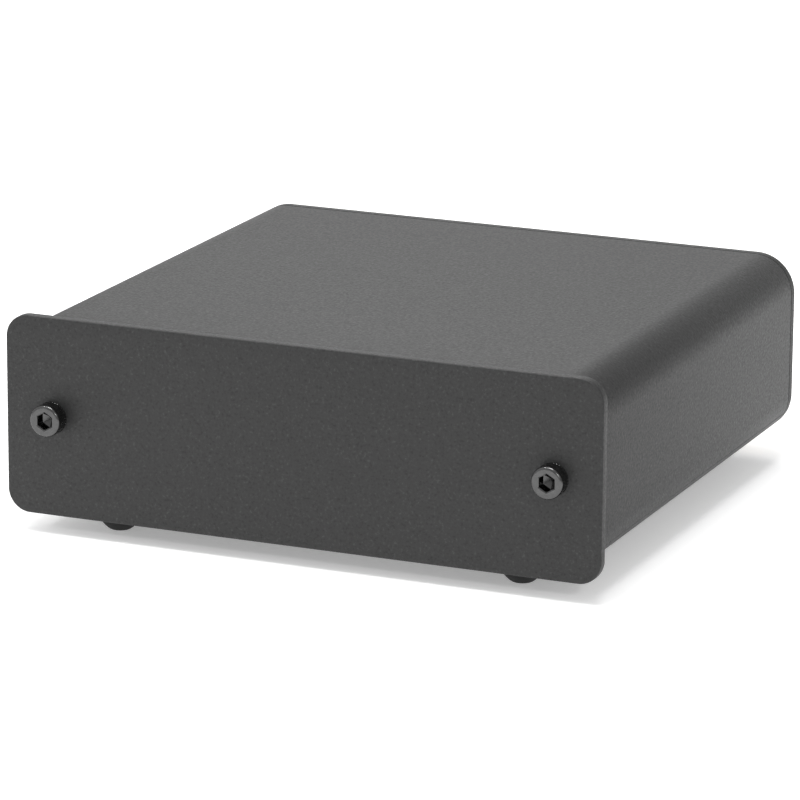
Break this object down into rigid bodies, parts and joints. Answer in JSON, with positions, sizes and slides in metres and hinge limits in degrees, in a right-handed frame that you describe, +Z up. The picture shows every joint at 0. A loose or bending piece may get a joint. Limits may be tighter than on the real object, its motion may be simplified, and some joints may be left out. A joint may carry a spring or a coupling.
{
  "type": "phono preamplifier",
  "caption": "Small black phono preamplifier: flat front plate with two cap screws on a rounded aluminium sleeve with rubber feet; phono sockets, ground terminal and power inlet at the rear.",
  "frame": {"origin": "on the surface the feet stand on, at the middle of the overall width and depth", "axes": "+X to the right as seen from the front, +Y to the rear with the front panel facing -Y, +Z up"},
  "size_m": [0.107, 0.1106, 0.0377],
  "materials": {
    "black_powder_coat": "aluminium with a fine black powder coat",
    "zinc_steel": "blackened steel, a little shiny",
    "rubber": "black rubber",
    "gold_plate": "gold-plated brass",
    "white_plastic": "white plastic of the left channel",
    "red_plastic": "red plastic of the right channel",
    "black_plastic": "moulded black plastic",
    "bright_metal": "nickel-plated brass",
    "board_laminate": "green glass-fibre laminate",
    "component_body": "lacquered component bodies"
  },
  "bodies": {
    "preamp": {"front_panel": "black_powder_coat", "rear_panel": "black_powder_coat", "housing_sleeve": "black_powder_coat", "front_screw_left": "zinc_steel", "front_screw_right": "zinc_steel", "rear_screw_left": "zinc_steel", "rear_screw_right": "zinc_steel", "foot_front_left": "rubber", "foot_front_right": "rubber", "foot_rear_left": "rubber", "foot_rear_right": "rubber", "input_left_shell": "gold_plate", "input_left_contact": "gold_plate", "input_right_shell": "gold_plate", "input_right_contact": "gold_plate", "output_left_shell": "gold_plate", "output_left_contact": "gold_plate", "output_right_shell": "gold_plate", "output_right_contact": "gold_plate", "ground_post": "gold_plate", "ground_lock_nut": "gold_plate", "ground_tag": "gold_plate", "input_left_insulator": "white_plastic", "output_left_insulator": "white_plastic", "input_right_insulator": "red_plastic", "output_right_insulator": "red_plastic", "input_left_block": "black_plastic", "input_right_block": "black_plastic", "output_left_block": "black_plastic", "output_right_block": "black_plastic", "power_inlet_body": "black_plastic", "amplifier_chips": "black_plastic", "gain_header": "black_plastic", "gain_jumpers": "black_plastic", "voltage_regulators": "black_plastic", "power_inlet_pin": "bright_metal", "power_inlet_leaf": "bright_metal", "circuit_board": "board_laminate", "film_capacitors": "component_body", "coupling_capacitors": "component_body", "reservoir_capacitors": "component_body", "resistors": "component_body", "supply_diode": "component_body"},
    "ground_washer_ring": {"ground_washer": "gold_plate"},
    "ground_thumb_knob": {"ground_thumb_nut": "gold_plate"}
  },
  "joints": [
    {"name": "thumb_nut_travel", "type": "slide", "parent": "preamp", "child": "ground_washer_ring", "axis": [0, 1, 0], "range_m": [0, 0.0028]},
    {"name": "thumb_nut_turn", "type": "hinge", "parent": "ground_washer_ring", "child": "ground_thumb_knob", "pos_m": [0.008, 0.04915, 0.02055], "axis": [0, 1, 0], "range_deg": [0, 1440]}
  ],
  "couplings": [
    {"joint": "thumb_nut_turn", "follows": "thumb_nut_travel", "rad_per_m": 8976}
  ]
}
